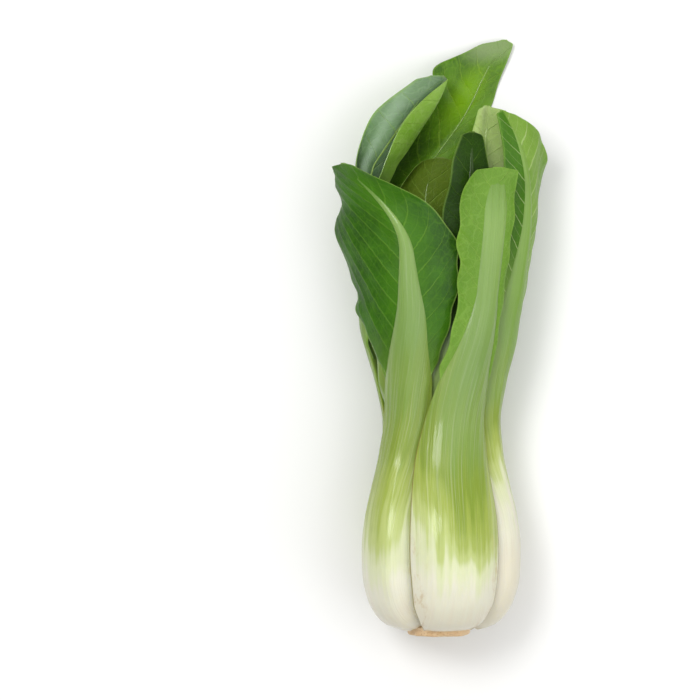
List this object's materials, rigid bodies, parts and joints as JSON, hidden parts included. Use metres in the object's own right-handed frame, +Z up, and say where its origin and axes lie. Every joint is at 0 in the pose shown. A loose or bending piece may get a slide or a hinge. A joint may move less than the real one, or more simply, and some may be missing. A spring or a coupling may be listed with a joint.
{
  "type": "bok choy",
  "caption": "Head of bok choy lying on its side, with thick pale overlapping leaf stalks that swell into a bulb at the cut stem and dark green rounded leaves at the other end.",
  "frame": {"origin": "bottom centre of the bounding box of the lying head", "axes": "+Y along the head from the cut stem to the leaf tips, +Z up from the surface that it lies on"},
  "size_m": [0.0724, 0.2002, 0.048],
  "materials": {
    "stalk": "satin",
    "blade": "satin",
    "cut_stem": "matte"
  },
  "bodies": {
    "root": {"stem_base": "cut_stem", "stalk_01": "stalk", "stalk_02": "stalk", "stalk_03": "stalk", "stalk_04": "stalk", "stalk_05": "stalk", "stalk_06": "stalk", "stalk_07": "stalk", "stalk_08": "stalk", "stalk_09": "stalk", "stalk_10": "stalk", "stalk_11": "stalk", "blade_01": "blade", "blade_02": "blade", "blade_03": "blade", "blade_04": "blade", "blade_05": "blade", "blade_06": "blade", "blade_07": "blade", "blade_08": "blade", "blade_09": "blade", "blade_10": "blade", "blade_11": "blade"}
  },
  "joints": []
}
